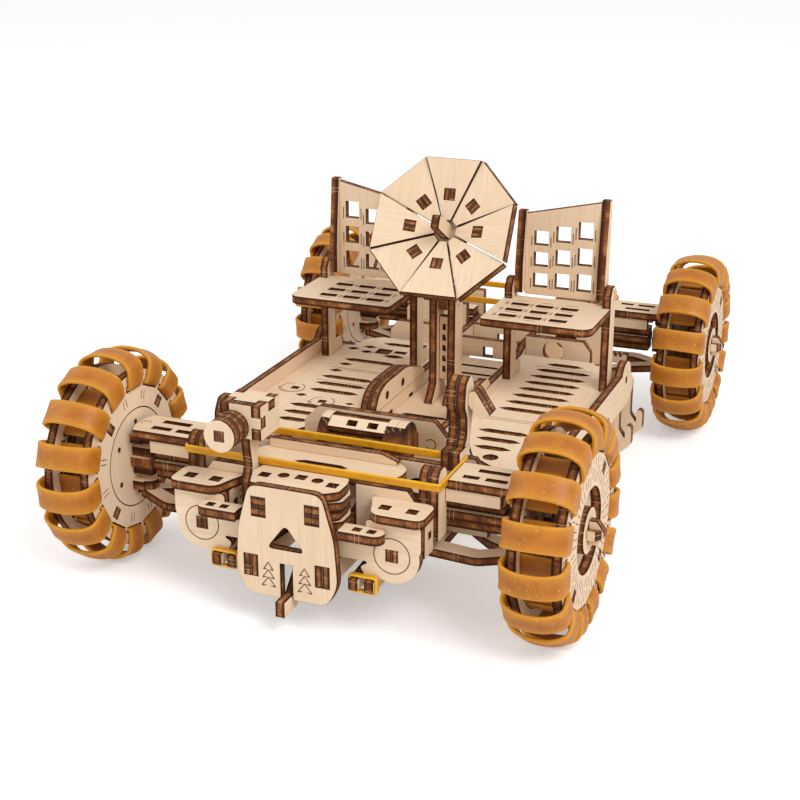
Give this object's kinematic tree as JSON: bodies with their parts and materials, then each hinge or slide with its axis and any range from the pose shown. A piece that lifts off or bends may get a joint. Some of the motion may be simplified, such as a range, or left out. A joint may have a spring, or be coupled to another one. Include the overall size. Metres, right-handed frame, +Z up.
{
  "type": "plywood model lunar rover",
  "caption": "Laser-cut plywood model of an open lunar rover: steered wheels with rubber-band treads, slotted decks, folding seat backs and a tilting dish antenna.",
  "frame": {"origin": "on the ground, below the middle of the model's box", "axes": "+X to the right-hand side as seen from the front, +Y towards the rear, +Z up; the front with the push plate faces -Y"},
  "size_m": [0.1756, 0.2544, 0.1186],
  "materials": {
    "birch": "matte",
    "tread": "satin",
    "flat_band": "satin"
  },
  "bodies": {
    "chassis": {"deck_left": "birch", "deck_right": "birch", "deck_middle": "birch", "side_rails": "birch", "tunnel_rails": "birch", "console_sides": "birch", "cross_frames": "birch", "front_arms": "birch", "rear_arms": "birch", "front_shafts": "birch", "rear_shafts": "birch", "front_wishbones": "birch", "rear_wishbones": "birch", "racks": "birch", "front_brackets": "birch", "rear_brackets": "birch", "bracket_tops": "birch", "push_plate": "birch", "push_lever": "birch", "control_stack": "birch", "front_tray": "birch", "drum": "birch", "camera_box": "birch", "camera_lens": "birch", "band_posts": "birch", "front_band": "flat_band", "rear_band": "flat_band", "side_post": "birch", "mast": "birch", "tow_hooks": "birch", "spring_forks": "birch", "spring_bands": "flat_band", "seat_pans": "birch", "seat_legs": "birch"},
    "seat_back_left": {"seat_back_left": "birch"},
    "seat_back_right": {"seat_back_right": "birch"},
    "dish": {"dish_petals": "birch", "dish_ribs": "birch", "dish_feed": "birch"},
    "knuckle_fl": {"knuckle_fl": "birch"},
    "wheel_fl": {"rim_fl": "birch", "tread_fl": "tread", "hub_fl": "birch"},
    "knuckle_fr": {"knuckle_fr": "birch"},
    "wheel_fr": {"rim_fr": "birch", "tread_fr": "tread", "hub_fr": "birch"},
    "knuckle_rl": {"knuckle_rl": "birch"},
    "wheel_rl": {"rim_rl": "birch", "tread_rl": "tread", "hub_rl": "birch"},
    "knuckle_rr": {"knuckle_rr": "birch"},
    "wheel_rr": {"rim_rr": "birch", "tread_rr": "tread", "hub_rr": "birch"}
  },
  "joints": [
    {"name": "steer_fl", "type": "hinge", "parent": "chassis", "child": "knuckle_fl", "pos_m": [-0.063, -0.092, 0.03507], "axis": [0, 0, 1], "range_deg": [-18, 18]},
    {"name": "spin_fl", "type": "hinge", "parent": "knuckle_fl", "child": "wheel_fl", "pos_m": [-0.075, -0.092, 0.03507], "axis": [1, 0, 0], "continuous": true},
    {"name": "steer_fr", "type": "hinge", "parent": "chassis", "child": "knuckle_fr", "pos_m": [0.063, -0.092, 0.03507], "axis": [0, 0, 1], "range_deg": [-18, 18]},
    {"name": "spin_fr", "type": "hinge", "parent": "knuckle_fr", "child": "wheel_fr", "pos_m": [0.075, -0.092, 0.03507], "axis": [1, 0, 0], "continuous": true},
    {"name": "steer_rl", "type": "hinge", "parent": "chassis", "child": "knuckle_rl", "pos_m": [-0.063, 0.092, 0.03507], "axis": [0, 0, 1], "range_deg": [-18, 18]},
    {"name": "spin_rl", "type": "hinge", "parent": "knuckle_rl", "child": "wheel_rl", "pos_m": [-0.075, 0.092, 0.03507], "axis": [1, 0, 0], "continuous": true},
    {"name": "steer_rr", "type": "hinge", "parent": "chassis", "child": "knuckle_rr", "pos_m": [0.063, 0.092, 0.03507], "axis": [0, 0, 1], "range_deg": [-18, 18]},
    {"name": "spin_rr", "type": "hinge", "parent": "knuckle_rr", "child": "wheel_rr", "pos_m": [0.075, 0.092, 0.03507], "axis": [1, 0, 0], "continuous": true},
    {"name": "fold_left", "type": "hinge", "parent": "chassis", "child": "seat_back_left", "pos_m": [-0.036, 0.032, 0.06867], "axis": [1, 0, 0], "range_deg": [0, 75]},
    {"name": "fold_right", "type": "hinge", "parent": "chassis", "child": "seat_back_right", "pos_m": [0.036, 0.032, 0.06867], "axis": [1, 0, 0], "range_deg": [0, 75]},
    {"name": "dish_tilt", "type": "hinge", "parent": "chassis", "child": "dish", "pos_m": [0, 0.013, 0.06627], "axis": [1, 0, 0], "range_deg": [-25, 25]}
  ],
  "couplings": [
    {"joint": "steer_fr", "follows": "steer_fl", "ratio": 1},
    {"joint": "steer_rr", "follows": "steer_rl", "ratio": 1}
  ]
}
